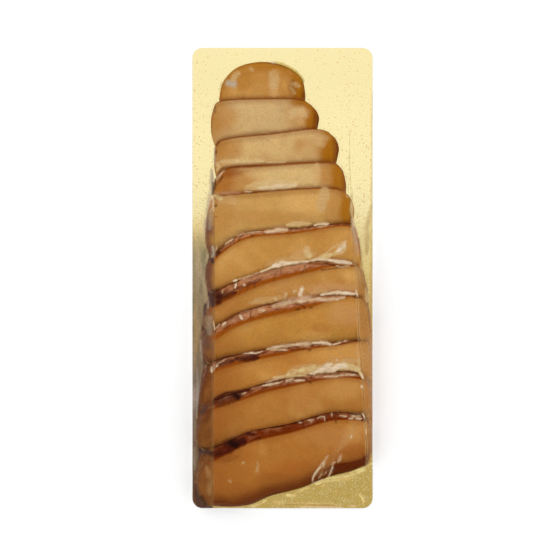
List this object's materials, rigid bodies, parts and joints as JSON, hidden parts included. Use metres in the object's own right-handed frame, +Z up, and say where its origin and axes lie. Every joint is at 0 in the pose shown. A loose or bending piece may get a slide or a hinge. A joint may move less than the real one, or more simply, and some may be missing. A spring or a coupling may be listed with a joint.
{
  "type": "vacuum-packed sliced smoked cod roe on a gold card",
  "caption": "Slices of smoked cod roe laid like roof tiles on a narrow gold card with rounded corners, sealed under a tight clear film.",
  "frame": {"origin": "middle of the card's underside", "axes": "+Y along the card from the last slice laid, on top, to the first, lowest one; +X across it; +Z up from the card to the roe"},
  "size_m": [0.09, 0.23, 0.0154],
  "materials": {
    "gold_card": "card faced with bright gold foil, finely textured, slightly crinkled",
    "smoked_roe": "moist, finely grained tan roe with a thin dark red-brown smoked skin round the rim",
    "clear_film": "thin glossy clear vacuum film with fine creases"
  },
  "bodies": {
    "root": {"board": "gold_card", "slice_01": "smoked_roe", "slice_02": "smoked_roe", "slice_03": "smoked_roe", "slice_04": "smoked_roe", "slice_05": "smoked_roe", "slice_06": "smoked_roe", "slice_07": "smoked_roe", "slice_08": "smoked_roe", "slice_09": "smoked_roe", "slice_10": "smoked_roe", "slice_11": "smoked_roe", "film": "clear_film"}
  },
  "joints": []
}
